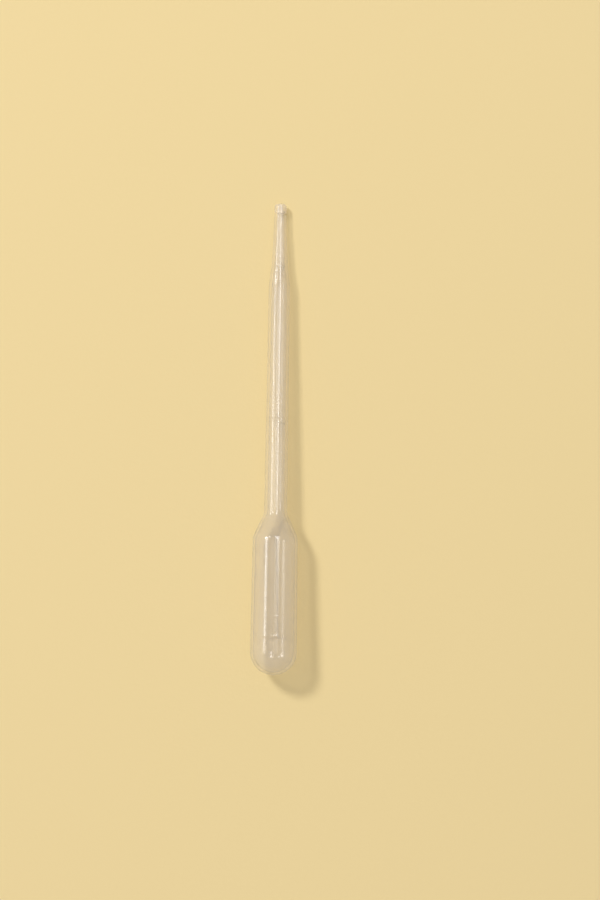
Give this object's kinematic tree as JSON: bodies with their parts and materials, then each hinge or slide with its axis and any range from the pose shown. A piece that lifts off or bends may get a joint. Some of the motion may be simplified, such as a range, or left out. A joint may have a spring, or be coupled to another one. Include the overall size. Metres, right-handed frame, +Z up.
{
  "type": "transfer pipette",
  "caption": "Disposable one-piece plastic transfer pipette with a round-ended squeeze bulb, a long flexible stem and a narrow drawn tip, lying on a bench.",
  "frame": {"origin": "on the bench, under the middle of the pipette's bounding box, with the pipette lying at rest on its bulb's shoulder edge and its tip", "axes": "+Y along the bench from the bulb towards the tip, +Z up off the bench, +X to the right when seen from above with the tip away; the pipette's own axis drops 2.82 degrees towards the tip"},
  "size_m": [0.0152, 0.1548, 0.017],
  "materials": {
    "natural_polyethylene": "milky see-through low-density polyethylene with a soft gloss"
  },
  "bodies": {
    "bulb": {"bulb_dome": "natural_polyethylene", "bulb_barrel": "natural_polyethylene", "bulb_shoulder": "natural_polyethylene", "stem_root": "natural_polyethylene"},
    "left_wall": {"bulb_left_wall": "natural_polyethylene"},
    "right_wall": {"bulb_right_wall": "natural_polyethylene"},
    "lower_stem": {"stem_lower": "natural_polyethylene", "stem_middle": "natural_polyethylene"},
    "upper_stem": {"stem_upper": "natural_polyethylene", "neck": "natural_polyethylene", "tip_root": "natural_polyethylene"},
    "tip": {"tip_tube": "natural_polyethylene", "tip_rim": "natural_polyethylene"}
  },
  "joints": [
    {"name": "bulb_squeeze", "type": "slide", "parent": "bulb", "child": "left_wall", "axis": [1, 0, 0], "range_m": [0, 0.005], "stiffness_N_per_m": 60},
    {"name": "bulb_squeeze_right", "type": "slide", "parent": "bulb", "child": "right_wall", "axis": [-1, 0, 0], "range_m": [0, 0.005], "stiffness_N_per_m": 60},
    {"name": "stem_flex", "type": "hinge", "parent": "bulb", "child": "lower_stem", "pos_m": [0, -0.00882, 0.00636], "axis": [0, 0.0492, 0.9988], "range_deg": [-15, 15], "stiffness_Nm_per_rad": 0.3},
    {"name": "stem_flex_upper", "type": "hinge", "parent": "lower_stem", "child": "upper_stem", "pos_m": [0, 0.02874, 0.00452], "axis": [0, 0.0492, 0.9988], "range_deg": [-15, 15], "stiffness_Nm_per_rad": 0.1},
    {"name": "tip_flex", "type": "hinge", "parent": "upper_stem", "child": "tip", "pos_m": [0, 0.064, 0.00278], "axis": [0, 0.0492, 0.9988], "range_deg": [-20, 20], "stiffness_Nm_per_rad": 0.005}
  ],
  "couplings": [
    {"joint": "bulb_squeeze_right", "follows": "bulb_squeeze", "ratio": 1},
    {"joint": "stem_flex_upper", "follows": "stem_flex", "ratio": 1}
  ]
}
